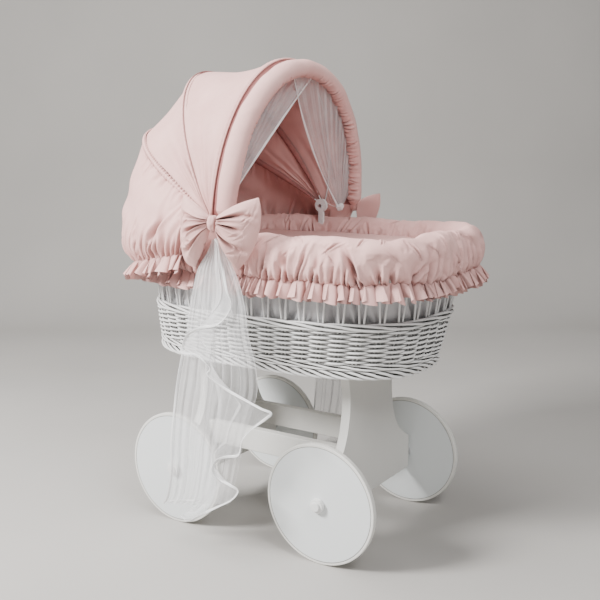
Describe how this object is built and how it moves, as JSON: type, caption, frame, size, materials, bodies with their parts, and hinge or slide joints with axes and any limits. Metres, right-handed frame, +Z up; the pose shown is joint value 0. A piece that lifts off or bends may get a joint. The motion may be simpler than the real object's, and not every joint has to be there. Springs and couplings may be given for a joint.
{
  "type": "bassinet on stand",
  "caption": "Wicker bassinet on a white wooden stand with plain disc wheels, padded rim cover, folding cotton canopy and tulle veil.",
  "frame": {"origin": "on the floor, in the middle of the overall length and width", "axes": "+X towards the foot end, +Y across to the far long side, +Z up"},
  "size_m": [0.8625, 0.65, 1.0899],
  "materials": {
    "painted_wood": "off-white matt paint",
    "dowel_wood": "plain beech",
    "steel": "zinc plated",
    "wheel_board": "white satin paint",
    "tyre_rubber": "cream-white matt band",
    "bush_plastic": "white",
    "cap_plastic": "white",
    "white_wicker": "white painted willow",
    "floor_board": "white painted plywood",
    "liner_cotton": "grey-white plain cotton",
    "bedding_cotton": "dusty pink plain cotton",
    "pink_cotton": "dusty pink plain cotton",
    "bracket_plastic": "white moulded",
    "hoop_wire": "white coated wire",
    "bow_cotton": "dusty pink plain cotton",
    "tulle": "sheer white net"
  },
  "bodies": {
    "root": {"end_panel_foot": "painted_wood", "end_panel_head": "painted_wood", "basket_batten_foot": "painted_wood", "basket_batten_head": "painted_wood", "rail_near": "painted_wood", "rail_far": "painted_wood", "rail_dowels": "dowel_wood", "floor_screws": "steel", "batten_screws": "steel", "axle_bolts": "steel", "axle_spacers": "steel", "pivot_screws": "steel", "pivot_nuts": "steel", "base_border": "white_wicker", "woven_wall": "white_wicker", "stakes": "white_wicker", "rim_rod": "white_wicker", "basket_floor": "floor_board", "liner": "liner_cotton", "mattress": "bedding_cotton", "duvet": "bedding_cotton", "rim_cover": "pink_cotton", "cover_frill": "pink_cotton", "canopy_rear_bag": "pink_cotton", "canopy_hem_frill": "pink_cotton", "canopy_bracket_near": "bracket_plastic", "canopy_bracket_far": "bracket_plastic", "bow_near": "bow_cotton", "bow_far": "bow_cotton", "bow_knot_near": "bow_cotton", "bow_knot_far": "bow_cotton", "veil_tail_near": "tulle", "veil_tail_far": "tulle"},
    "wheel_near_foot": {"wheel_disc_near_foot": "wheel_board", "tyre_near_foot": "tyre_rubber", "hub_bush_near_foot": "bush_plastic", "hub_cap_near_foot": "cap_plastic"},
    "wheel_near_head": {"wheel_disc_near_head": "wheel_board", "tyre_near_head": "tyre_rubber", "hub_bush_near_head": "bush_plastic", "hub_cap_near_head": "cap_plastic"},
    "wheel_far_foot": {"wheel_disc_far_foot": "wheel_board", "tyre_far_foot": "tyre_rubber", "hub_bush_far_foot": "bush_plastic", "hub_cap_far_foot": "cap_plastic"},
    "wheel_far_head": {"wheel_disc_far_head": "wheel_board", "tyre_far_head": "tyre_rubber", "hub_bush_far_head": "bush_plastic", "hub_cap_far_head": "cap_plastic"},
    "hoop_rear": {"rear_hoop": "hoop_wire", "canopy_mid_panel": "pink_cotton"},
    "hoop_mid": {"mid_hoop": "hoop_wire", "canopy_front_panel": "pink_cotton"},
    "hoop_front": {"front_hoop": "hoop_wire", "canopy_front_roll": "pink_cotton", "veil_curtain_near": "tulle", "veil_curtain_far": "tulle"}
  },
  "joints": [
    {"name": "wheel_near_foot_spin", "type": "hinge", "parent": "root", "child": "wheel_near_foot", "pos_m": [0.192, -0.206, 0.135], "axis": [0, 1, 0], "continuous": true},
    {"name": "wheel_near_head_spin", "type": "hinge", "parent": "root", "child": "wheel_near_head", "pos_m": [-0.216, -0.206, 0.135], "axis": [0, 1, 0], "continuous": true},
    {"name": "wheel_far_foot_spin", "type": "hinge", "parent": "root", "child": "wheel_far_foot", "pos_m": [0.192, 0.206, 0.135], "axis": [0, 1, 0], "continuous": true},
    {"name": "wheel_far_head_spin", "type": "hinge", "parent": "root", "child": "wheel_far_head", "pos_m": [-0.216, 0.206, 0.135], "axis": [0, 1, 0], "continuous": true},
    {"name": "hoop_rear_fold", "type": "hinge", "parent": "root", "child": "hoop_rear", "pos_m": [-0.071, 0, 0.743], "axis": [0, -1, 0], "range_deg": [0, 22], "deforming": ["canopy_rear_bag"]},
    {"name": "hoop_mid_fold", "type": "hinge", "parent": "hoop_rear", "child": "hoop_mid", "pos_m": [-0.071, 0, 0.743], "axis": [0, -1, 0], "range_deg": [0, 22], "deforming": ["canopy_mid_panel"]},
    {"name": "hoop_front_fold", "type": "hinge", "parent": "hoop_mid", "child": "hoop_front", "pos_m": [-0.071, 0, 0.743], "axis": [0, -1, 0], "range_deg": [0, 22], "deforming": ["canopy_front_panel"]}
  ],
  "couplings": [
    {"joint": "hoop_mid_fold", "follows": "hoop_rear_fold", "ratio": 1},
    {"joint": "hoop_front_fold", "follows": "hoop_rear_fold", "ratio": 1}
  ]
}
